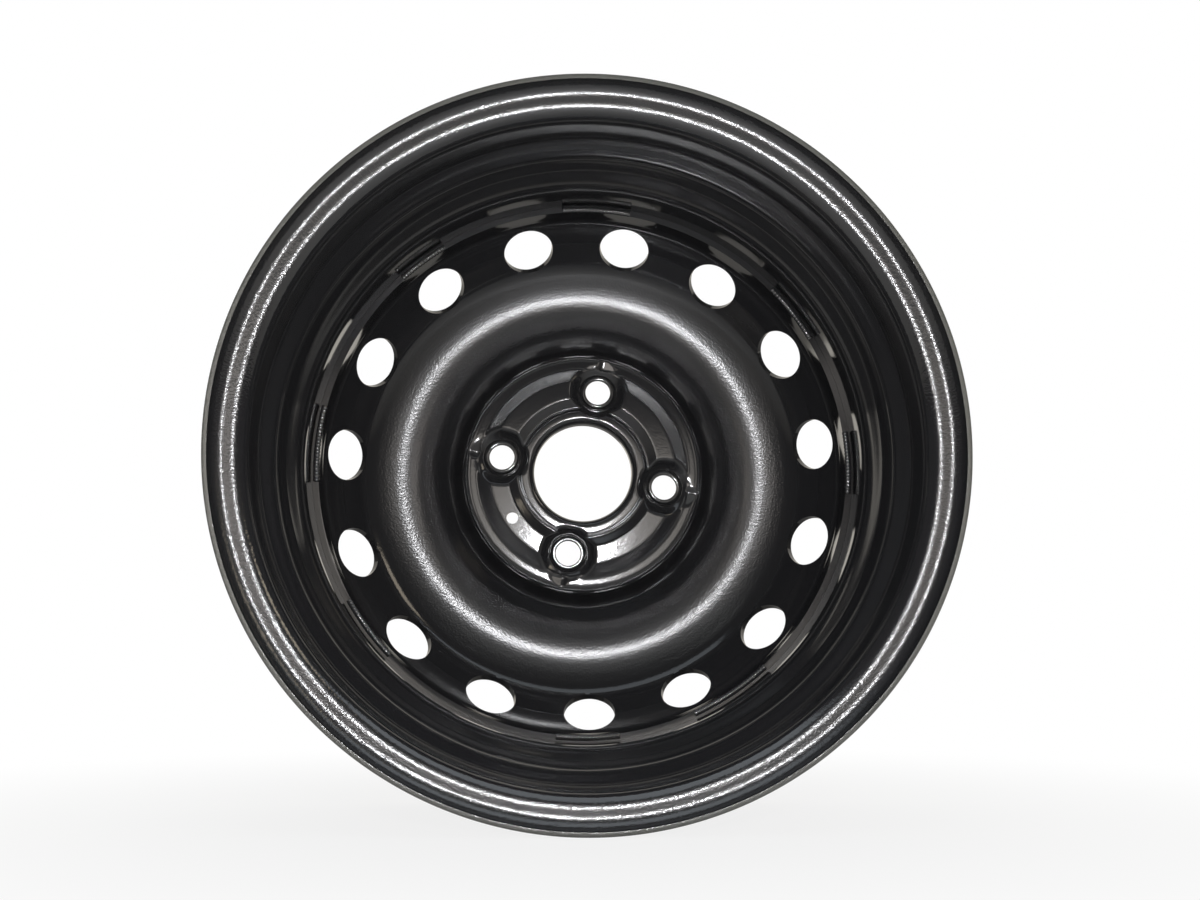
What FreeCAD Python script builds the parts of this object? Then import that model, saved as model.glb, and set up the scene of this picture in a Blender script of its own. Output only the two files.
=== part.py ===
"""Pressed steel car wheel: a rolled drop-centre rim, a stamped disc and the weld beads that join them.

The origin is the centre of the rim on the wheel's axis. The axis is Y, with the outer face of the wheel
towards +Y, so a view along +Y looks into the barrel, as a fitter sees the wheel before it goes on the hub.
"""
import FreeCAD, Part
import os
import Sketcher
from FreeCAD import Placement, Rotation, Vector

doc = FreeCAD.newDocument("steel_wheel")
sheet = doc.addObject("Spreadsheet::Sheet", "sheet")

# Driving dimensions in millimetres and degrees. Offsets are measured along the axis from the rim's centre.
DIMENSIONS = {
    # Rim: a 14 inch, 5.5 J drop-centre section
    "rim_width": 139.7,
    "bead_seat_diameter": 354.8,
    "bead_seat_width": 20.5,
    "bead_seat_angle": 5,
    "flange_height": 17.3,
    "flange_width": 11,
    "flange_curl": 9.5,
    "heel_bend": 6.5,
    "rim_gauge": 2.4,
    "hump_height": 1,
    "hump_width": 9,
    "hump_bend": 4,
    "hump_foot_bend": 5,
    "well_diameter": 316.8,
    "well_wall_run": 5.35,
    "well_outer_bend": 6,
    "well_inner_bend": 14,
    "ramp_run": 13.5,
    "ledge_outer_diameter": 330.6,
    "ledge_run": 10.5,
    "ledge_inner_diameter": 337,
    "ledge_to_hump": 8.85,
    "ledge_bend": 10,
    "valve_hole_diameter": 11.3,
    # Disc: skirt, vent cone and crown
    "disc_gauge": 3.6,
    "skirt_clearance": 0.05,
    "skirt_edge_offset": 21.5,
    "skirt_corner_offset": 38,
    "skirt_bend": 12,
    "crease_diameter": 285,
    "crease_offset": 51.9,
    "crease_bend": 6,
    "cone_foot_diameter": 257,
    "cone_foot_offset": 68,
    "cone_foot_bend": 18,
    "crown_diameter": 215,
    "crown_offset": 73.6,
    "crown_bend": 30,
    "flare_diameter": 184,
    "flare_offset": 69.1,
    "flare_bend": 30,
    "wall_foot_diameter": 155,
    "wall_foot_offset": 59.6,
    "wall_foot_bend": 12,
    # Disc: hub face
    "wheel_offset": 43,
    "shelf_drop": 3.4,
    "shelf_outer_diameter": 141,
    "shelf_outer_bend": 5,
    "shelf_inner_diameter": 125.2,
    "shelf_inner_bend": 4,
    "contact_outer_diameter": 110,
    "contact_inner_diameter": 89,
    "groove_diameter": 77.6,
    "groove_depth": 2.3,
    "groove_bend": 1.5,
    "ring_diameter": 72.6,
    "ring_drop": 0.6,
    "bore_diameter": 58.1,
    "bore_lip_bend": 4,
    "bore_length": 9.9,
    # Disc: holes and bolt seats
    "clock_angle": 79.7,
    "vent_count": 15,
    "vent_diameter": 30,
    "vent_circle_diameter": 280.6,
    "vent_offset": 52.25,
    "vent_tilt": 51.2,
    "bolt_count": 4,
    "bolt_circle_diameter": 98,
    "bolt_hole_diameter": 14.8,
    "seat_angle": 60,
    "seat_land": 2,
    "boss_height": 9.1,
    "boss_root": 0.3,
    "boss_bend": 2,
    "boss_crest_diameter": 30,
    "boss_foot_diameter": 38,
    "pocket_diameter": 34,
    "pocket_floor_diameter": 31,
    "pocket_bend": 3,
    "pocket_depth": 5,
    "lip_depth": 2,
    "lip_diameter": 18.8,
    "lip_foot_diameter": 23.2,
    "lip_bend": 0.8,
    "cutter_reach": 3,
    "gate_start": 9,
    "gate_end": 24.3,
    "gate_width": 28,
    "gate_tip_width": 1,
    "gate_tip_depth": 4.1,
    "pin_hole_diameter": 7,
    "pin_circle_diameter": 100,
    "pin_angle": 133.8,
    # Weld beads
    "bead_leg": 3.4,
    "bead_shoulder": 0.8,
    "bead_bend": 2.2,
}

# Start and span of each bead, in degrees round the axis from +X towards +Z
BEADS = (
    (8, 13.5),
    (44, 14),
    (95, 15),
    (134, 11.5),
    (183.5, 16.5),
    (224.5, 14.5),
    (277.5, 13.5),
    (312, 18),
)
for count, (start, span) in enumerate(BEADS, start=1):
    DIMENSIONS[f"bead_{count}_start"] = start
    DIMENSIONS[f"bead_{count}_span"] = span

for row, (alias, value) in enumerate(DIMENSIONS.items(), start=1):
    sheet.set(f"A{row}", alias)
    sheet.set(f"B{row}", str(value))
    sheet.setAlias(f"B{row}", alias)
doc.recompute()

# Worked-out sizes that several pieces share, as expressions on the sheet
HALF_WIDTH = "sheet.rim_width / 2"
TIP = f"({HALF_WIDTH} + sheet.flange_width)"
FLANGE_RADIUS = "(sheet.bead_seat_diameter / 2 + sheet.flange_height)"
SEAT_RADIUS = "sheet.bead_seat_diameter / 2"
SEAT_END = f"({HALF_WIDTH} - sheet.bead_seat_width)"
SEAT_END_RADIUS = f"({SEAT_RADIUS} - sheet.bead_seat_width * tan(sheet.bead_seat_angle * 1 deg))"
HUMP_RADIUS = f"({SEAT_END_RADIUS} + sheet.hump_height)"
HUMP_CREST = f"({SEAT_END} - sheet.hump_width / 2)"
HUMP_BACK = f"({SEAT_END} - sheet.hump_width)"
WELL_RADIUS = "sheet.well_diameter / 2"
WELL_OUTER = f"({HUMP_BACK} - sheet.well_wall_run)"
LEDGE_INNER = f"({HUMP_BACK} - sheet.ledge_to_hump)"
LEDGE_OUTER = f"({LEDGE_INNER} - sheet.ledge_run)"
WELL_INNER = f"({LEDGE_OUTER} - sheet.ramp_run)"
WELL_INSIDE = f"({WELL_RADIUS} - sheet.rim_gauge)"
SKIRT_RADIUS = f"({WELL_INSIDE} - sheet.skirt_clearance - sheet.disc_gauge)"
FACE = "sheet.wheel_offset"
SHELF = "(sheet.wheel_offset + sheet.shelf_drop)"
RING = "(sheet.wheel_offset + sheet.ring_drop)"
BOLT_RADIUS = "sheet.bolt_hole_diameter / 2"
VALVE = "sheet.valve_hole_diameter"
AXIS = Vector(0, 1, 0)


def number(expression):
    """Value of an expression on the sheet, as a plain number."""
    value = sheet.evalExpression(expression.replace("sheet.", ""))
    return float(getattr(value, "Value", value))


def bind(sketch, constraint, expression, name):
    """Add a dimension to a sketch and drive it from the sheet."""
    index = sketch.addConstraint(constraint)
    sketch.renameConstraint(index, name)
    sketch.setExpression(f"Constraints.{name}", expression)


def draw(sketch, corners, closed):
    """Draw straight runs through corners (radius, offset, bend); a bend of None leaves the corner sharp."""
    points = [Vector(number(radius), number(offset), 0) for radius, offset, bend in corners]
    count = len(points)
    runs = count if closed else count - 1
    for run in range(runs):
        sketch.addGeometry(Part.LineSegment(points[run], points[(run + 1) % count]))
    for run in range(runs if closed else runs - 1):
        sketch.addConstraint(Sketcher.Constraint("Coincident", run, 2, (run + 1) % count, 1))
    for corner, (radius, offset, bend) in enumerate(corners):
        run, end = (corner, 1) if corner < runs else (corner - 1, 2)
        point = points[corner]
        bind(sketch, Sketcher.Constraint("DistanceX", -1, 1, run, end, point.x), radius, f"radius_{corner}")
        bind(sketch, Sketcher.Constraint("DistanceY", -1, 1, run, end, point.y), offset, f"offset_{corner}")
    for corner, (radius, offset, bend) in enumerate(corners):
        if bend is None:
            continue
        arc = sketch.GeometryCount
        before = points[corner - 1]
        after = points[(corner + 1) % count]
        sketch.fillet((corner - 1) % count, corner, before, after, number(bend), 1, True)
        bind(sketch, Sketcher.Constraint("Radius", arc, number(bend)), bend, f"bend_{corner}")


def formed_sheet(name, corners, gauge):
    """Sheet of one gauge whose section follows the corners, turned once round the axis."""
    path = doc.addObject("Sketcher::SketchObject", f"{name}_path")
    draw(path, corners, closed=False)
    section = doc.addObject("Part::Offset2D", f"{name}_section")
    section.Source = path
    section.Mode = "Skin"
    section.Fill = True
    section.setExpression("Value", gauge)
    turned = doc.addObject("Part::Revolution", f"{name}_turned")
    turned.Source = section
    turned.Axis = AXIS
    turned.Angle = 360
    return turned


def make_body(name, blank=None):
    """Body for one piece, started from a formed blank where there is one."""
    body = doc.addObject("PartDesign::Body", name)
    body.Label = name
    if blank is not None:
        body.BaseFeature = blank
    doc.recompute()
    return body


def origin_feature(body, role):
    """Plane or axis of a body's own origin."""
    return next(feature for feature in body.Origin.OriginFeatures if feature.Role == role)


def turn_body(body, angle):
    """Turn a finished body round the wheel's axis, from +X towards +Z."""
    body.Placement = Placement(Vector(), Rotation(-AXIS, number(angle)))
    body.setExpression("Placement.Rotation.Angle", angle)


def section_sketch(body, name, corners, shift=None):
    """Closed section on the body's XY plane; shift moves its own axis out along X."""
    sketch = body.newObject("Sketcher::SketchObject", name)
    sketch.AttachmentSupport = [(origin_feature(body, "XY_Plane"), "")]
    sketch.MapMode = "FlatFace"
    if shift is not None:
        sketch.setExpression("AttachmentOffset.Base.x", shift)
    draw(sketch, corners, closed=True)
    doc.recompute()
    return sketch


def turn_section(body, kind, name, corners, shift=None, angle="360"):
    """Revolution or Groove of a closed section about its sketch's own upright axis."""
    sketch = section_sketch(body, f"{name}_sketch", corners, shift)
    feature = body.newObject(f"PartDesign::{kind}", name)
    feature.Profile = sketch
    feature.ReferenceAxis = (sketch, ["V_Axis"])
    feature.Midplane = True
    feature.setExpression("Angle", angle)
    doc.recompute()
    return feature


def drill(body, name, diameter, centre, lean, reach):
    """Round hole at a centre point, drilled along -Y or leaned from it towards +X by an angle."""
    hole = body.newObject("PartDesign::SubtractiveCylinder", name)
    hole.setExpression("Radius", f"{diameter} / 2")
    hole.setExpression("Height", f"2 * {reach}")
    hole.Placement = Placement(Vector(), Rotation(Vector(1, 0, 0), 90))
    hole.setExpression("Placement.Rotation.Axis.x", f"cos({lean})")
    hole.setExpression("Placement.Rotation.Axis.y", f"sin({lean})")
    x, y, z = centre
    hole.setExpression("Placement.Base.x", f"{x} - sin({lean}) * {reach}")
    hole.setExpression("Placement.Base.y", f"{y} + cos({lean}) * {reach}")
    hole.setExpression("Placement.Base.z", z)
    body.Tip = hole
    doc.recompute()
    return hole


def repeat_round(body, feature, count):
    """Repeat a feature evenly round the wheel's axis."""
    pattern = body.newObject("PartDesign::PolarPattern", f"{feature.Name}_ring")
    pattern.Originals = [feature]
    pattern.Axis = (origin_feature(body, "Y_Axis"), [""])
    pattern.Angle = 360
    pattern.setExpression("Occurrences", count)
    body.Tip = pattern
    doc.recompute()
    return pattern


def make_rim():
    """Rolled rim, drawn along the tyre side from the outer flange's tip to the inner one's."""
    corners = [
        (FLANGE_RADIUS, TIP, None),
        (FLANGE_RADIUS, HALF_WIDTH, "sheet.flange_curl"),
        (SEAT_RADIUS, HALF_WIDTH, "sheet.heel_bend"),
        (SEAT_END_RADIUS, SEAT_END, "sheet.hump_foot_bend"),
        (HUMP_RADIUS, HUMP_CREST, "sheet.hump_bend"),
        (SEAT_END_RADIUS, HUMP_BACK, "sheet.hump_foot_bend"),
        (WELL_RADIUS, WELL_OUTER, "sheet.well_outer_bend"),
        (WELL_RADIUS, f"-{WELL_INNER}", "sheet.well_inner_bend"),
        ("sheet.ledge_outer_diameter / 2", f"-{LEDGE_OUTER}", "sheet.ledge_bend"),
        ("sheet.ledge_inner_diameter / 2", f"-{LEDGE_INNER}", "sheet.ledge_bend"),
        (SEAT_END_RADIUS, f"-{HUMP_BACK}", "sheet.hump_foot_bend"),
        (HUMP_RADIUS, f"-{HUMP_CREST}", "sheet.hump_bend"),
        (SEAT_END_RADIUS, f"-{SEAT_END}", "sheet.hump_foot_bend"),
        (SEAT_RADIUS, f"-{HALF_WIDTH}", "sheet.heel_bend"),
        (FLANGE_RADIUS, f"-{HALF_WIDTH}", "sheet.flange_curl"),
        (FLANGE_RADIUS, f"-{TIP}", None),
    ]
    body = make_body("rim", formed_sheet("rim", corners, "sheet.rim_gauge"))
    # The valve hole stands square to the well's outer wall, halfway up it.
    rise = f"({SEAT_END_RADIUS} - {WELL_RADIUS})"
    lean = f"atan(sheet.well_wall_run / {rise})"
    middle = (
        f"({SEAT_END_RADIUS} + {WELL_RADIUS}) / 2",
        f"({HUMP_BACK} + {WELL_OUTER}) / 2",
        "0",
    )
    drill(body, "valve_hole", VALVE, middle, lean, VALVE)
    turn_body(body, "sheet.clock_angle")
    return body


def make_disc():
    """Stamped disc, drawn along its inboard side from the skirt's edge to the bore's collar."""
    corners = [
        (SKIRT_RADIUS, "sheet.skirt_edge_offset", None),
        (SKIRT_RADIUS, "sheet.skirt_corner_offset", "sheet.skirt_bend"),
        ("sheet.crease_diameter / 2", "sheet.crease_offset", "sheet.crease_bend"),
        ("sheet.cone_foot_diameter / 2", "sheet.cone_foot_offset", "sheet.cone_foot_bend"),
        ("sheet.crown_diameter / 2", "sheet.crown_offset", "sheet.crown_bend"),
        ("sheet.flare_diameter / 2", "sheet.flare_offset", "sheet.flare_bend"),
        ("sheet.wall_foot_diameter / 2", "sheet.wall_foot_offset", "sheet.wall_foot_bend"),
        ("sheet.shelf_outer_diameter / 2", SHELF, "sheet.shelf_outer_bend"),
        ("sheet.shelf_inner_diameter / 2", SHELF, "sheet.shelf_inner_bend"),
        ("sheet.contact_outer_diameter / 2", FACE, None),
        ("sheet.contact_inner_diameter / 2", FACE, None),
        ("sheet.groove_diameter / 2", f"{FACE} + sheet.groove_depth", "sheet.groove_bend"),
        ("sheet.ring_diameter / 2", RING, None),
        ("sheet.bore_diameter / 2", RING, "sheet.bore_lip_bend"),
        ("sheet.bore_diameter / 2", f"{RING} + sheet.bore_length", None),
    ]
    body = make_body("wheel_disc", formed_sheet("disc", corners, "sheet.disc_gauge"))
    cut_vents(body)
    press_bolt_seats(body)
    drill_pin_hole(body)
    turn_body(body, "sheet.clock_angle")
    return body


def cut_vents(body):
    """Ring of round vents, drilled square to the cone."""
    width = "sheet.vent_diameter"
    middle = ("sheet.vent_circle_diameter / 2", "sheet.vent_offset", "0")
    vent = drill(body, "vent", width, middle, "-sheet.vent_tilt * 1 deg", width)
    repeat_round(body, vent, "sheet.vent_count")


def press_bolt_seats(body):
    """Bolt seats: a boss on the outer face, a pocket behind it and a cone-shaped seat round each hole."""
    shift = "sheet.bolt_circle_diameter / 2"
    core = f"{BOLT_RADIUS} / 2"
    root = f"({FACE} + min(sheet.shelf_drop; sheet.disc_gauge - sheet.boss_root))"
    crest = f"({FACE} + sheet.boss_height)"
    above = f"({FACE} - sheet.cutter_reach)"
    beyond = f"({crest} + sheet.cutter_reach)"
    lip = f"({FACE} + sheet.lip_depth)"
    floor = f"({FACE} + sheet.pocket_depth)"
    floor_radius = "sheet.pocket_floor_diameter / 2"
    pocket_slope = "(sheet.pocket_diameter - sheet.pocket_floor_diameter) / 2 / sheet.pocket_depth"
    pocket_mouth = f"sheet.pocket_diameter / 2 + sheet.cutter_reach * {pocket_slope}"
    seat_foot = f"({lip} + sheet.seat_land)"
    seat_mouth = f"{BOLT_RADIUS} + ({beyond} - {seat_foot}) * tan(sheet.seat_angle / 2 * 1 deg)"
    boss = turn_section(body, "Revolution", "bolt_boss", [
        (core, root, None),
        ("sheet.boss_foot_diameter / 2", root, None),
        ("sheet.boss_crest_diameter / 2", crest, "sheet.boss_bend"),
        (core, crest, None),
    ], shift)
    repeat_round(body, boss, "sheet.bolt_count")
    pocket = turn_section(body, "Groove", "bolt_pocket", [
        (core, lip, None),
        ("sheet.lip_diameter / 2", lip, "sheet.lip_bend"),
        ("sheet.lip_foot_diameter / 2", floor, "sheet.lip_bend"),
        (floor_radius, floor, "sheet.pocket_bend"),
        (pocket_mouth, above, None),
        (core, above, None),
    ], shift)
    repeat_round(body, pocket, "sheet.bolt_count")
    seat = turn_section(body, "Groove", "bolt_seat", [
        ("0", above, None),
        (BOLT_RADIUS, above, None),
        (BOLT_RADIUS, seat_foot, None),
        (seat_mouth, beyond, None),
        ("0", beyond, None),
    ], shift)
    repeat_round(body, seat, "sheet.bolt_count")
    # Each pocket runs out through the edge of the shelf, over a ramp that narrows to a point. The wedge tapers along
    # its own Y, which is turned to point away from the wheel's axis.
    gate = body.newObject("PartDesign::SubtractiveWedge", "pocket_gate")
    gate.Placement = Placement(Vector(), Rotation(Vector(0, 0, 1), -90))
    limits = {
        "Xmin": f"-{floor}",
        "Xmax": f"-{above}",
        "X2min": f"-({FACE} + sheet.gate_tip_depth)",
        "X2max": f"-{above}",
        "Ymin": f"{shift} + sheet.gate_start",
        "Ymax": f"{shift} + sheet.gate_end",
        "Zmin": "-sheet.gate_width / 2",
        "Zmax": "sheet.gate_width / 2",
        "Z2min": "-sheet.gate_tip_width / 2",
        "Z2max": "sheet.gate_tip_width / 2",
    }
    for side, expression in limits.items():
        gate.setExpression(side, expression)
    doc.recompute()
    repeat_round(body, gate, "sheet.bolt_count")


def drill_pin_hole(body):
    """Hole for the hub's locating pin, in the contact face between two bolts."""
    turn = "sheet.pin_angle * 1 deg"
    reach = "(2 * sheet.disc_gauge)"
    middle = (
        f"sheet.pin_circle_diameter / 2 * cos({turn})",
        FACE,
        f"sheet.pin_circle_diameter / 2 * sin({turn})",
    )
    drill(body, "pin_hole", "sheet.pin_hole_diameter", middle, "0", reach)


def lay_bead(name, start, span):
    """Fillet weld between the skirt's edge and the well, over one arc."""
    toe = "(sheet.skirt_edge_offset - sheet.bead_leg)"
    body = make_body(name)
    bead = turn_section(body, "Revolution", f"{name}_run", [
        (WELL_INSIDE, "sheet.skirt_edge_offset", None),
        (WELL_INSIDE, toe, None),
        (f"{SKIRT_RADIUS} + sheet.bead_shoulder", f"{toe} + sheet.bead_shoulder", "sheet.bead_bend"),
        (SKIRT_RADIUS, "sheet.skirt_edge_offset", None),
    ], angle=span)
    body.Tip = bead
    turn_body(body, f"{start} + {span} / 2")
    return body


def check_pieces(pieces):
    """Stop before anything is written if an object failed or a piece is not one sound solid."""
    for item in doc.Objects:
        if "Invalid" in item.State or "Error" in item.State:
            raise RuntimeError(f"{item.Label} failed to build")
    for piece in pieces:
        if piece.Shape.isNull() or not piece.Shape.isValid() or len(piece.Shape.Solids) != 1:
            raise RuntimeError(f"{piece.Label} is not one sound solid")


pieces = [make_rim(), make_disc()]
for count in range(1, len(BEADS) + 1):
    pieces.append(lay_bead(f"weld_bead_{count}", f"sheet.bead_{count}_start", f"sheet.bead_{count}_span"))
doc.recompute()
check_pieces(pieces)

os.makedirs("parts", exist_ok=True)
for piece in pieces:
    piece.Shape.exportStep(f"parts/{piece.Label}.step")
    print(piece.Label, round(piece.Shape.Volume))
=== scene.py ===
# %% [markdown]
# # A pressed steel wheel in black paint
# The wheel is a rolled rim with a stamped disc welded into it. The solids come packed from the CAD model as a fixed
# frame, in metres, with the axis along Y and the outer face towards +Y. Everything below is placed by that frame.

# %% Load the frame
import math
import bpy
from mathutils import Matrix, Vector


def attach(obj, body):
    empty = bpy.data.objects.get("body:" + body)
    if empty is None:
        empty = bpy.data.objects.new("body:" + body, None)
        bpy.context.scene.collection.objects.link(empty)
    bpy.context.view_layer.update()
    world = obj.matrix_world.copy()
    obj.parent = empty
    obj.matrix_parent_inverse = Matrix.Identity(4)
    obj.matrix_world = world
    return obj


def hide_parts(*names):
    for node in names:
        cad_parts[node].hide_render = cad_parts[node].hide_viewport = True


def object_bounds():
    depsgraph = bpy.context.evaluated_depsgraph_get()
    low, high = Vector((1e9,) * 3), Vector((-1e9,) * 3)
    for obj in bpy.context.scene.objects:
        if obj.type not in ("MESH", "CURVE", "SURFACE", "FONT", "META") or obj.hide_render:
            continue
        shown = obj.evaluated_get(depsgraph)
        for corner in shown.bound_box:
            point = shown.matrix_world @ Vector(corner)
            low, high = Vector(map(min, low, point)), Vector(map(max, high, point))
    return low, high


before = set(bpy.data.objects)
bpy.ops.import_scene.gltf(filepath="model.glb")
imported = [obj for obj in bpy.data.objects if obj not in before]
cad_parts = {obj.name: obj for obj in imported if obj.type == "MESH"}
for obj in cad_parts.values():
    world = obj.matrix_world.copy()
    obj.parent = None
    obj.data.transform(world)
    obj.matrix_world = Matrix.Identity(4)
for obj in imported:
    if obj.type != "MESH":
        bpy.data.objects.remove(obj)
cad_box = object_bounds()
MM = 0.001
print("wheel box in metres:", [tuple(round(v, 4) for v in corner) for corner in cad_box])


# %% [markdown]
# ## Shader maths
# A finish is easier to read as arithmetic than as a web of nodes. `Wire` wraps one output socket, and every operator
# on it adds the Math node that does the sum. `Finish` holds one node tree, and all its other nodes come from `add`.

# %% Wires and finishes
class Wire:
    """An output socket that takes part in Python arithmetic."""

    def __init__(self, finish, socket):
        self.finish = finish
        self.socket = socket

    def math(self, operation, *operands):
        return self.finish.add("ShaderNodeMath", {"operation": operation}, dict(enumerate(operands)))

    def out(self, name):
        """Another output of the node this wire comes from."""
        return Wire(self.finish, self.socket.node.outputs[name])

    def __add__(self, other):
        return self.math("ADD", self, other)

    __radd__ = __add__

    def __sub__(self, other):
        return self.math("SUBTRACT", self, other)

    def __rsub__(self, other):
        return self.math("SUBTRACT", other, self)

    def __mul__(self, other):
        return self.math("MULTIPLY", self, other)

    __rmul__ = __mul__

    def __truediv__(self, other):
        return self.math("DIVIDE", self, other)

    def __rtruediv__(self, other):
        return self.math("DIVIDE", other, self)

    def __pow__(self, other):
        return self.math("POWER", self, other)


class Finish:
    """One node tree, with every node added by the same call."""

    def __init__(self, tree):
        self.tree = tree
        tree.nodes.clear()

    def add(self, kind, settings=None, sockets=None, out=0):
        node = self.tree.nodes.new(kind)
        for name, value in (settings or {}).items():
            setattr(node, name, value)
        for name, value in (sockets or {}).items():
            if isinstance(value, Wire):
                self.tree.links.new(value.socket, node.inputs[name])
            else:
                node.inputs[name].default_value = value
        return Wire(self, node.outputs[out]) if node.outputs else node

    def ramp(self, value, low, high, start=0.0, end=1.0):
        """Smooth step of a value from start to end while it goes from low to high."""
        settings = {"interpolation_type": "SMOOTHSTEP"}
        return self.add("ShaderNodeMapRange", settings, {0: value, 1: low, 2: high, 3: start, 4: end})

    def noise(self, vector, scale, detail):
        return self.add("ShaderNodeTexNoise", None, {"Vector": vector, "Scale": scale, "Detail": detail})


def new_finish(name):
    material = bpy.data.materials.new(name)
    material.use_nodes = True
    return material, Finish(material.node_tree)


def wear(piece, material):
    """Put one material on a piece."""
    piece.data.materials.clear()
    piece.data.materials.append(material)


# %% [markdown]
# ## Places on a wheel
# Almost everything on a wheel depends on how far it lies from the axis. The paint could be laid out in X, Y and Z, but
# radius, depth and angle let one rule serve for the whole turn, so these are worked out first.

# %% Wheel coordinates
def wheel_coordinates(finish):
    """Object coordinates, with the radius, depth and angle round the wheel's axis."""
    place = finish.add("ShaderNodeTexCoord", None, None, "Object")
    x = finish.add("ShaderNodeSeparateXYZ", None, {0: place})
    y, z = x.out("Y"), x.out("Z")
    radius = (x * x + z * z) ** 0.5
    return place, radius, y, z.math("ARCTAN2", z, x)


# %% [markdown]
# ## Black dip paint
# Chassis black is dipped or sprayed once and baked. It flows out glossy on the flat hub, and stays duller with a fine
# orange peel on the crown and the flange. One paint per zone would leave a visible border, so a single paint changes
# along the radius instead. The peel is a bump of a fine and a broad noise. The rim also carries faint marks from its
# rollers, which are a third noise stretched round the axis. The inboard tip of the rim is painted a lighter grey. This
# is a painted highlight for the bright line that light draws along the tip.

# %% Paint
BLACK = (0.019, 0.019, 0.0205, 1)
# Lighter grey for the rim's inboard tip: a painted highlight, not the paint's own colour.
TIP_HIGHLIGHT_GREY = (0.1, 0.1, 0.09, 1)
GRAIN_SCALE = 850.0
WAVE_SCALE = 330.0
MARK_SCALE = 1100.0
MARK_STRETCH = 0.004
TIP_HIGHLIGHT_DEPTHS = (-0.0801, -0.0806)


def black_paint(name, gloss, peel, ior, rolling=0.0):
    """Black paint with its roughness and peel in steps of (radius in mm, value), from the hub outwards."""
    material, finish = new_finish(name)
    place, radius, depth, angle = wheel_coordinates(finish)

    def along_radius(steps):
        value = steps[0][1]
        for (first, low), (last, high) in zip(steps, steps[1:]):
            value = value + finish.ramp(radius, first * MM, last * MM, 0.0, high - low)
        return value

    grain = finish.noise(place, GRAIN_SCALE, 1.0)
    waves = finish.noise(place, WAVE_SCALE, 2.0)
    height = (grain + waves * 0.5) * along_radius(peel)
    if rolling:
        stretched = finish.add("ShaderNodeCombineXYZ", None, {0: radius, 1: depth, 2: angle * MARK_STRETCH})
        height = height + finish.noise(stretched, MARK_SCALE, 3.0) * rolling
    bump = finish.add("ShaderNodeBump", None, {"Strength": 1.0, "Distance": MM, "Height": height})
    # The band of depths at the inboard tip gets the lighter grey, a painted highlight along the tip.
    tip_highlight = finish.ramp(depth, *TIP_HIGHLIGHT_DEPTHS)
    mix = {"Factor": tip_highlight, 6: BLACK, 7: TIP_HIGHLIGHT_GREY}
    colour = finish.add("ShaderNodeMix", {"data_type": "RGBA"}, mix, 2)
    paint = finish.add("ShaderNodeBsdfPrincipled", None, {
        "Base Color": colour,
        "Roughness": along_radius(gloss),
        "IOR": ior,
        "Normal": bump,
    })
    finish.add("ShaderNodeOutputMaterial", None, {"Surface": paint})
    return material


rim_paint = black_paint(
    "rim_black_paint",
    [(150, 0.09), (177, 0.09), (181, 0.24)],
    [(150, 0.003), (174, 0.003), (181, 0.13)],
    1.85, 0.004,
)
disc_paint = black_paint(
    "disc_black_paint",
    [(29, 0.1), (78, 0.1), (92, 0.23), (115, 0.23), (128, 0.1)],
    [(29, 0.018), (78, 0.018), (92, 0.09), (115, 0.09), (135, 0.006)],
    1.6,
)
weld_paint = black_paint("weld_black_paint", [(150, 0.2)], [(150, 0.08)], 2.2)
print("paints:", ", ".join(paint.name for paint in (rim_paint, disc_paint, weld_paint)))


# %% [markdown]
# ## Sections and spinning
# Rim and disc are both sheets of one gauge whose section is a line with round bends, so one way of working serves for
# both: lay the corners out, round them, spin the line round the axis, then give the sheet its thickness. A bend is
# made of short straight steps, and a long straight stretch is divided so that the spun faces stay well shaped.

# %% Section tools
BEND_STEP = 9.0


def bent(corners):
    """Lay points along (radius, y, bend) corners in mm, with an arc at each corner that has a bend."""
    path = []
    for index, (radius, depth, *bend) in enumerate(corners):
        here = Vector((radius, depth))
        if not bend:
            path.append(here)
            continue
        back = (Vector(corners[index - 1][:2]) - here).normalized()
        onward = (Vector(corners[index + 1][:2]) - here).normalized()
        half = back.angle(onward) / 2
        centre = here + (back + onward).normalized() * bend[0] / math.sin(half)
        spoke = here + back * bend[0] / math.tan(half) - centre
        sweep = math.copysign(math.pi - 2 * half, -back.cross(onward))
        steps = max(2, round(math.degrees(abs(sweep)) / BEND_STEP))
        path += [centre + Matrix.Rotation(sweep * step / steps, 2) @ spoke for step in range(steps + 1)]
    return path


def spaced(path, gap):
    """Divide the long stretches of a path, with a gap that may depend on the radius."""
    points = [path[0]]
    for first, last in zip(path, path[1:]):
        count = max(1, math.ceil((last - first).length / gap(last.x)))
        points += [first.lerp(last, (step + 1) / count) for step in range(count)]
    return points


# %% [markdown]
# ## Bench tools
# These few functions are the bench: pick one piece, run steps on it in edit mode, apply a modifier. They keep the
# modelling cells short, and they leave nothing else selected by accident.

# %% Bench tools
def use_only(piece):
    bpy.ops.object.select_all(action="DESELECT")
    piece.select_set(True)
    bpy.context.view_layer.objects.active = piece


def edit(piece, *steps):
    """Run steps in edit mode with everything in the piece selected."""
    use_only(piece)
    bpy.ops.object.mode_set(mode="EDIT")
    bpy.ops.mesh.select_all(action="SELECT")
    for step, settings in steps:
        step(**settings)
    bpy.ops.object.mode_set(mode="OBJECT")


def apply(piece, kind, **settings):
    use_only(piece)
    modifier = piece.modifiers.new(kind.lower(), kind)
    for name, value in settings.items():
        setattr(modifier, name, value)
    bpy.ops.object.modifier_apply(modifier=modifier.name)


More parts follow.
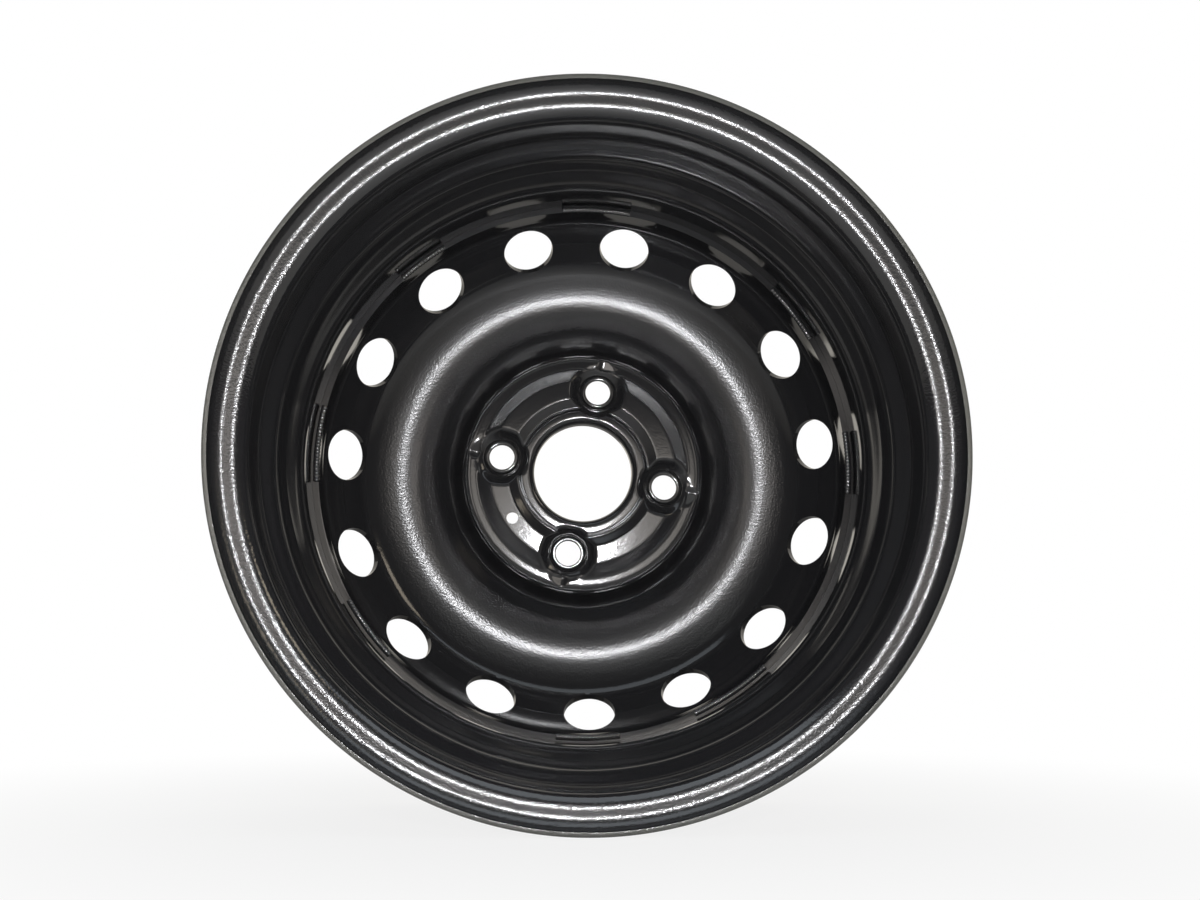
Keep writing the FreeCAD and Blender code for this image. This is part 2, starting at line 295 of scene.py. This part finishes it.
def outline(name, path, azimuth=0.0, closed=False):
    """A primitive circle laid along a section in mm, opened into a line unless it is a closed outline."""
    bpy.ops.object.select_all(action="DESELECT")
    bpy.ops.mesh.primitive_circle_add(vertices=len(path))
    piece = bpy.context.object
    piece.name = name
    mesh = piece.data
    for vertex, point in zip(mesh.vertices, path):
        vertex.co = Vector((point[0] * math.cos(azimuth), point[1], point[0] * math.sin(azimuth))) * MM
    if not closed:
        bpy.ops.object.mode_set(mode="EDIT")
        bpy.ops.mesh.select_mode(type="EDGE")
        bpy.ops.mesh.select_all(action="DESELECT")
        bpy.ops.object.mode_set(mode="OBJECT")
        for edge in mesh.edges:
            edge.select = set(edge.vertices) == {0, len(path) - 1}
        bpy.ops.object.mode_set(mode="EDIT")
        bpy.ops.mesh.delete(type="EDGE")
        bpy.ops.object.mode_set(mode="OBJECT")
    return piece


def spin(piece, steps, angle=math.tau):
    """Turn a section round the axis, close the seam and make the normals agree."""
    edit(
        piece,
        (bpy.ops.mesh.spin, dict(steps=steps, angle=angle, center=(0, 0, 0), axis=(0, 1, 0))),
        (bpy.ops.mesh.select_all, dict(action="SELECT")),
        (bpy.ops.mesh.remove_doubles, dict(threshold=0.000002)),
        (bpy.ops.mesh.normals_make_consistent, dict(inside=False)),
    )


def face_towards(piece, direction):
    """Turn the sheet's normals over if its deepest face looks the wrong way."""
    deepest = max(piece.data.polygons, key=lambda face: face.center.dot(direction(face.center) * -1))
    if deepest.normal.dot(direction(deepest.center)) < 0:
        edit(piece, (bpy.ops.mesh.flip_normals, {}))


# %% [markdown]
# ## Holes and copies
# Punched holes are cut with cylinders. All cutters of one piece are joined first, so one boolean does the work of
# many. Repeats are modelled once and turned round the axis.

# %% Hole tools
HOLE_SIDES = 64
CREASE = 35.0


def on_azimuth(radius, depth, azimuth):
    """The point, in mm, at a radius and depth on one azimuth."""
    return Vector((radius * math.cos(azimuth), depth, radius * math.sin(azimuth)))


def cut(piece, cutter):
    apply(piece, "BOOLEAN", operation="DIFFERENCE", solver="EXACT", object=cutter)
    use_only(cutter)
    bpy.ops.object.delete()


def drill(radius, length, place, direction):
    """A cylinder to cut a hole with, in mm, its axis along a direction."""
    bpy.ops.object.select_all(action="DESELECT")
    bpy.ops.mesh.primitive_cylinder_add(vertices=HOLE_SIDES, radius=radius * MM, depth=length * MM)
    cutter = bpy.context.object
    turn = Vector(direction).to_track_quat("Z", "Y").to_matrix().to_4x4()
    cutter.data.transform(Matrix.Translation(Vector(place) * MM) @ turn)
    return cutter


def round_the_wheel(piece, count):
    """Copies of a piece at equal angles round the axis, each with its own mesh."""
    copies = [piece]
    for index in range(1, count):
        use_only(piece)
        bpy.ops.object.duplicate()
        copy = bpy.context.object
        copy.data.transform(Matrix.Rotation(-math.tau * index / count, 4, "Y"))
        copies.append(copy)
    return copies


def joined(pieces):
    use_only(pieces[0])
    for piece in pieces:
        piece.select_set(True)
    bpy.ops.object.join()
    return bpy.context.object


def hand_over(piece, node, material):
    """Smooth a finished piece, paint it and put it in the place of a CAD node."""
    use_only(piece)
    bpy.ops.object.shade_smooth_by_angle(angle=math.radians(CREASE))
    wear(piece, material)
    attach(piece, "root")
    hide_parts(node)
    print(piece.name, len(piece.data.polygons), "faces")


# %% [markdown]
# ## Rolled rim
# The rim starts as a hoop of strip. Rollers form the two flanges, the bead seats with their humps and the drop centre
# that lets a tyre be mounted. Its section could be lofted from a curve, but a line of corners with bends is how a
# roller sees it, and each corner below is one bend of the strip: radius, depth and bend radius in mm. The line is the
# tyre's side of the strip, so the thickness goes inwards.

# %% Rim
RIM_CORNERS = [
    (194.66, 80.84), (194.66, 69.85, 9.5), (177.4, 69.85, 6.5), (175.606, 49.35, 5), (176.606, 44.85, 4),
    (175.606, 40.35, 5), (158.4, 35, 6), (158.4, -7.5, 20), (165.3, -21, 10), (168.5, -31.5, 10),
    (175.606, -40.35, 5), (176.606, -44.85, 4), (175.606, -49.35, 5), (177.4, -69.85, 6.5), (194.66, -69.85, 9.5),
    (194.66, -80.84),
]
RIM_GAUGE = 2.4
RIM_SPACING = 4.5
RIM_STEPS = 320
VALVE_AZIMUTH = math.radians(79.7)

rim = outline("rolled_rim", spaced(bent(RIM_CORNERS), lambda radius: RIM_SPACING))
spin(rim, RIM_STEPS)
face_towards(rim, lambda place: Vector((place.x, 0, place.z)).normalized())
apply(rim, "SOLIDIFY", thickness=RIM_GAUGE * MM, offset=-1, use_even_offset=True, use_quality_normals=True)
valve_drill = drill(5.65, 14, on_azimuth(166.65, 38.82, VALVE_AZIMUTH), on_azimuth(0.297, -0.955, VALVE_AZIMUTH))
cut(rim, valve_drill)

# %% [markdown]
# The cut edges of the strip and the rim of the valve hole are broken by a small round, as paint and shears leave them.

# %% Rim edges
use_only(rim)
bpy.ops.object.mode_set(mode="EDIT")
bpy.ops.mesh.select_all(action="DESELECT")
bpy.ops.mesh.edges_select_sharp(sharpness=math.radians(50))
bpy.ops.mesh.bevel(offset=0.7 * MM, segments=3, affect="EDGES", clamp_overlap=True)
bpy.ops.object.mode_set(mode="OBJECT")
hand_over(rim, "rim", rim_paint)


# %% [markdown]
# ## Stamped disc
# The press draws the disc into a deep ring. From the edge inwards its section is the skirt that sits in the rim, the
# sloping band of the vents, the crown, a step down to the flat hub face, and the drawn neck of the centre bore. The
# line is the inboard side of the sheet, the side that faces the hub, and it starts at a bolt's azimuth so that the
# four seats meet the same mesh.

# %% Disc
DISC_CORNERS = [
    (152.35, 21.5), (152.35, 38, 12), (142.5, 51.9, 6), (130, 64.9, 16), (99.4, 75.3, 40),
    (77.5, 61.6, 10), (70.5, 46.4, 5), (62.6, 46.4, 4), (55, 43, 1.5), (44.5, 43, 1.5), (38.8, 45.3, 1.5),
    (36.3, 43.6, 1.0), (29.05, 43.6, 4), (29.05, 53.5),
]
BOLT_CIRCLE = 49.0
DISC_GAUGE = 3.6
DISC_STEPS = 360
HUB_EDGE = 74.0


def disc_spacing(radius):
    """Close rows on the hub, which carries the seats, and wide ones beyond it."""
    return 1.1 if radius < HUB_EDGE else 3.2


disc = outline("stamped_disc", spaced(bent(DISC_CORNERS), disc_spacing), VALVE_AZIMUTH)
spin(disc, DISC_STEPS)
face_towards(disc, lambda place: Vector((0, -1, 0)))
print("disc sheet:", len(disc.data.vertices), "points")

# %% [markdown]
# ## Pressed seats and gates
# A die sinks a bowl round every bolt hole, with a shallow pointed gate from the bowl to the hub's outer edge. Bowl and
# gate are depths over the plane of the hub, so they could be cut as solids, but the sheet keeps one gauge when its
# points are moved before it gets its thickness. Where two depths meet they are blended, as a pressed edge is never
# sharp. The gate slopes gently on one side and steeply on the other.

# %% Seats
SEAT_FLOOR = 48.0
SEAT_RADIUS = 11.2
SHELF_DEPTH = 46.4
GATE_TIP = 25.0
GATE_LENGTH = 10.0
GATE_START = 14.0
GATE_RISE = 0.13
STEEP_SIDE = 0.5
GENTLE_SIDE = 0.16
BOWL_BLEND = 1.2
GATE_BLEND = 0.4
PRESSED = (29.5, 77)


def soft_max(first, second, blend):
    overlap = max(blend - abs(first - second), 0.0) / blend
    return max(first, second) + overlap * overlap * blend / 4


def seat_depth(along, across, depth):
    """Depth of the pressed sheet at a place measured from the nearest bolt, outwards and sideways, in mm."""
    reach = math.hypot(along, across)
    outwards = min(max((along / reach - 0.1) / 0.6, 0.0), 1.0)
    bowl = SEAT_FLOOR - max(reach - SEAT_RADIUS, 0.0) * (1 - 0.55 * outwards)
    taper = min(max(GATE_TIP - along, 0.0), GATE_LENGTH)
    side = math.hypot(across, 0.5) - 0.5
    slope = STEEP_SIDE if across > 0 else GENTLE_SIDE
    gate = SHELF_DEPTH + GATE_RISE * taper - slope * side - max(GATE_START - along, 0.0)
    return soft_max(soft_max(depth, bowl, BOWL_BLEND), gate, GATE_BLEND)


for vertex in disc.data.vertices:
    radius = math.hypot(vertex.co.x, vertex.co.z) / MM
    if PRESSED[0] < radius < PRESSED[1]:
        turn = (math.atan2(vertex.co.z, vertex.co.x) - VALVE_AZIMUTH + math.pi / 4) % (math.pi / 2) - math.pi / 4
        along = radius * math.cos(turn) - BOLT_CIRCLE
        vertex.co.y = seat_depth(along, radius * math.sin(turn), vertex.co.y / MM) * MM
apply(disc, "SOLIDIFY", thickness=DISC_GAUGE * MM, offset=-1, use_even_offset=True, use_quality_normals=True)

# %% [markdown]
# ## Punched holes
# Fifteen round vents are punched square to their sloping band, so each drill follows the slope. The bolt holes are
# cut wide here, because their collars are made next as pieces of their own. A small pin hole locates the disc.

# %% Holes
vent = drill(15, 26, on_azimuth(140.3, 52.25, VALVE_AZIMUTH), on_azimuth(0.779, 0.627, VALVE_AZIMUTH))
bolt = drill(SEAT_RADIUS, 24, on_azimuth(BOLT_CIRCLE, 48, VALVE_AZIMUTH), (0, 1, 0))
pin = drill(3.5, 24, on_azimuth(50, 46, math.radians(213.5)), (0, 1, 0))
cut(disc, joined(round_the_wheel(vent, 15) + round_the_wheel(bolt, 4) + [pin]))
hand_over(disc, "wheel_disc", disc_paint)

# %% [markdown]
# ## Bolt collars
# Round every bolt hole the press turns up a short collar with a cone inside for the bolt's head. It could be pressed
# from the sheet like the bowl, but its walls are too steep for points that only move in depth. A closed outline spun
# round the bolt's axis gives a clean collar, which fills the wide hole left in the disc.

# %% Bolt collars
COLLAR_STEPS = 96
COLLAR_OUTLINE = [
    (7.4, 45.5), (7.55, 45.15), (7.9, 45.0), (8.9, 45.0), (9.25, 45.15), (9.45, 45.5), (10.7, 47.7), (11.1, 48.05),
    (11.6, 48.1), (11.6, 51.4), (11.2, 51.5), (10.8, 51.3), (7.4, 47.9),
]
bolt_place = on_azimuth(BOLT_CIRCLE, 0, VALVE_AZIMUTH)
seat = outline("bolt_seat", COLLAR_OUTLINE, 0.0, True)
spin(seat, COLLAR_STEPS)
seat.data.transform(Matrix.Translation(bolt_place * MM))
for copy in round_the_wheel(seat, 4):
    hand_over(copy, "wheel_disc", disc_paint)


# %% [markdown]
# ## Welds
# Eight short beads join the disc's skirt to the well of the rim. Each is a flattened bead with a ripple for every pulse
# of the arc, and blunt ends. A bead is spun like the rest, and then swelled and shrunk along its run. The welder's
# starts and lengths differ, so they are listed as (start, span) in degrees.

# %% Weld beads
BEAD_CENTRE = Vector((153.3, 19.6))
BEAD_WIDTH = 3.3
BEAD_HEIGHT = 2.4
BEAD_SIDES = 16
BEAD_END = 2.2
STEPS_PER_RIPPLE = 6
RIPPLE_SWELL = 0.28
END_SHRINK = 0.55
BEADS = [(8, 13.5), (44, 14), (95, 15), (134, 11.5), (183.5, 16.5), (224.5, 14.5), (277.5, 13.5), (312, 18)]
RIPPLE = 2.0

for number, (start, span) in enumerate(BEADS, 1):
    ring = [BEAD_CENTRE + Vector((BEAD_WIDTH * math.cos(turn), BEAD_HEIGHT * math.sin(turn)))
            for turn in (math.tau * side / BEAD_SIDES for side in range(BEAD_SIDES))]
    bead = outline(f"weld_{number}", ring, math.radians(start), True)
    length = math.radians(span) * BEAD_CENTRE.x
    spin(bead, round(length / RIPPLE) * STEPS_PER_RIPPLE, -math.radians(span))
    for vertex in bead.data.vertices:
        azimuth = math.atan2(vertex.co.z, vertex.co.x) % math.tau
        run = ((azimuth - math.radians(start) + math.pi) % math.tau - math.pi) * BEAD_CENTRE.x
        end = min(max(1 - min(run, length - run) / BEAD_END, 0.0), 1.0)
        ripple = abs(math.sin(math.pi * run / RIPPLE))
        swell = (1 - END_SHRINK * end * end) * (1 + RIPPLE_SWELL * ripple)
        centre = on_azimuth(*BEAD_CENTRE, azimuth) * MM
        vertex.co = centre + (vertex.co - centre) * swell
    edit(bead, (bpy.ops.mesh.fill_holes, dict(sides=0)), (bpy.ops.mesh.normals_make_consistent, dict(inside=False)))
    hand_over(bead, f"weld_bead_{number}", weld_paint)


# %% [markdown]
# ## Floor
# The wheel stands on a plain pale floor. Seen directly the floor glows almost white, so that it joins the background,
# and it lets a little of its matte side through near the wheel, where the shadow lies.

# %% Floor
floor_height = cad_box[0].z
bpy.ops.object.select_all(action="DESELECT")
bpy.ops.mesh.primitive_plane_add(size=12, location=(0, 0, floor_height))
floor = bpy.context.object
floor.name = "floor"
floor_paint, finish = new_finish("white_floor")
x = finish.add("ShaderNodeSeparateXYZ", None, {0: finish.add("ShaderNodeTexCoord", None, None, "Object")})
away = (x * x + x.out("Y") * x.out("Y")) ** 0.5
seen = finish.add("ShaderNodeLightPath")
matte = finish.add("ShaderNodeBsdfDiffuse", None, {"Color": (0.5, 0.5, 0.5, 1)})
glow = finish.add("ShaderNodeEmission", None, {"Color": (1, 1, 1, 1), "Strength": 1.0})
white = finish.ramp(away, 0.1, 0.6, 0.84, 1.0)
mixed = finish.add("ShaderNodeMixShader", None, {0: seen * white, 1: matte, 2: glow})
finish.add("ShaderNodeOutputMaterial", None, {"Surface": mixed})
wear(floor, floor_paint)
print("floor at z", round(floor_height, 4), "m")

# %% [markdown]
# ## Room
# Black gloss shows mostly what it reflects, so the room matters as much as the paint. In front it is dim, and behind
# the wheel it is a bright warm wall that shines through the vents and the bore. The camera itself sees white.

# %% Room
world = bpy.data.worlds.new("studio")
bpy.context.scene.world = world
world.use_nodes = True
studio = Finish(world.node_tree)
seen = studio.add("ShaderNodeLightPath")
gaze = studio.add("ShaderNodeSeparateXYZ", None, {0: studio.add("ShaderNodeTexCoord", None, None, "Generated")})
behind = studio.ramp(gaze.out("Y"), 0.0, 0.25)
white = studio.add("ShaderNodeBackground", None, {"Color": (1, 1, 1, 1), "Strength": 1.0})
backdrop = studio.add("ShaderNodeBackground", None, {"Color": (1, 0.95, 0.86, 1), "Strength": 1.0})
room = studio.add("ShaderNodeBackground", None, {"Color": (0.05, 0.048, 0.046, 1), "Strength": 1.0})
around = studio.add("ShaderNodeMixShader", None, {0: behind, 1: room, 2: backdrop})
both = studio.add("ShaderNodeMixShader", None, {0: seen, 1: around, 2: white})
studio.add("ShaderNodeOutputWorld", None, {"Surface": both})


# %% [markdown]
# ## Lights
# A small flash close to the lens draws the bright rings, because each bend of the steel has one line that faces it.
# Soft cards in front give the flat hub its warm tone, and a wide lamp overhead fills the rest.

# %% Lights
def soft_light(name, place, aim, width, height, power, colour):
    bpy.ops.object.light_add(type="AREA", location=place)
    lamp = bpy.context.object
    lamp.name = name
    lamp.data.shape = "RECTANGLE"
    lamp.data.size = width
    lamp.data.size_y = height
    lamp.data.energy = power
    lamp.data.color = colour
    lamp.rotation_euler = (Vector(aim) - Vector(place)).to_track_quat("-Z", "Y").to_euler()


LAMPS = [
    ("flash", (0.015, -0.79, 0.014), (0, 0.05, 0), 0.06, 0.04, 2.5, (0.96, 0.97, 1)),
    ("card", (0.05, -2.0, 0.15), (0, 0, 0), 0.55, 0.32, 1.3, (1, 0.93, 0.85)),
    ("window", (0.94, -0.87, 0.73), (0, 0, 0), 0.34, 0.34, 1.2, (1, 0.88, 0.7)),
    ("ceiling", (0, -1.8, 0.8), (0, 0, 0.1), 1.2, 0.3, 0.8, (0.97, 1, 0.97)),
    ("left_wall", (-0.55, -2.0, 0.25), (0, 0, 0), 0.3, 0.5, 1.7, (1, 0.93, 0.87)),
    ("right_wall", (0.7, -2.0, 0.25), (0, 0, 0), 0.3, 0.5, 1.1, (1, 0.93, 0.85)),
    ("overhead", (0.1, -0.5, 1.4), (0, 0, 0), 2.0, 1.2, 8.0, (0.85, 0.93, 1)),
]
for lamp in LAMPS:
    soft_light(*lamp)
print(len(LAMPS), "lamps,", round(sum(lamp[5] for lamp in LAMPS), 1), "W in all")

# %% [markdown]
# ## Camera
# The camera looks into the barrel from below the axis, close enough for the depth of the wheel to show.

# %% Camera
bpy.ops.object.camera_add(location=(-0.02854, -0.77253, -0.10391))
camera = bpy.context.object
gaze = Vector((0.04667, 0.98879, 0.14181))
camera.rotation_euler = gaze.to_track_quat("-Z", "Y").to_euler()
camera.data.sensor_width = 36
camera.data.lens = 41.623
bpy.context.scene.camera = camera
bpy.context.scene.view_settings.view_transform = "Standard"
print("camera", round(camera.location.length, 3), "m from the wheel's centre")
